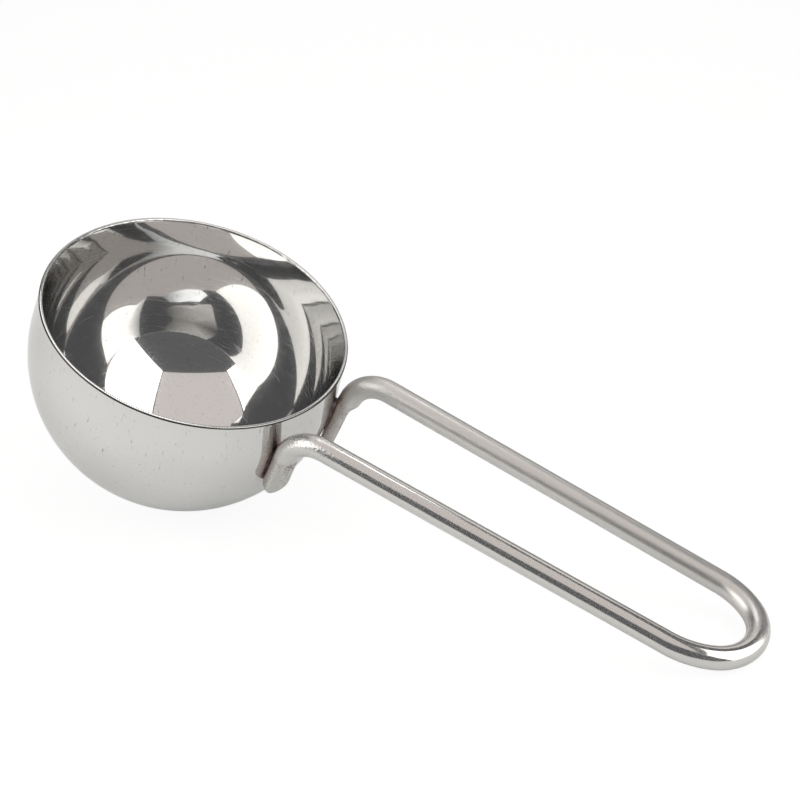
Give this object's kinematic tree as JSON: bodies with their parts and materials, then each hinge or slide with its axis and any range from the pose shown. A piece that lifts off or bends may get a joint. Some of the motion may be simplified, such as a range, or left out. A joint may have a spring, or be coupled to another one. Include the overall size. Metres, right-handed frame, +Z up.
{
  "type": "measuring spoon",
  "caption": "Measuring spoon with a round-bottomed bowl of polished steel sheet and a long looped handle of bent round wire welded to the bowl's wall.",
  "frame": {"origin": "centre of the bounding box at its base, on the surface that the spoon lies on", "axes": "+X from the bowl towards the end of the handle, +Z up from the surface it lies on, and the spoon is the same on both sides of y = 0"},
  "size_m": [0.139, 0.055, 0.0444],
  "materials": {
    "bowl_steel": "mirror-polished stainless steel sheet",
    "wire_steel": "satin stainless steel wire with tool marks at the bends",
    "weld_metal": "fused stainless steel with brown heat tint"
  },
  "bodies": {
    "root": {"bowl": "bowl_steel", "wire_handle": "wire_steel", "weld_left": "weld_metal", "weld_right": "weld_metal"}
  },
  "joints": []
}
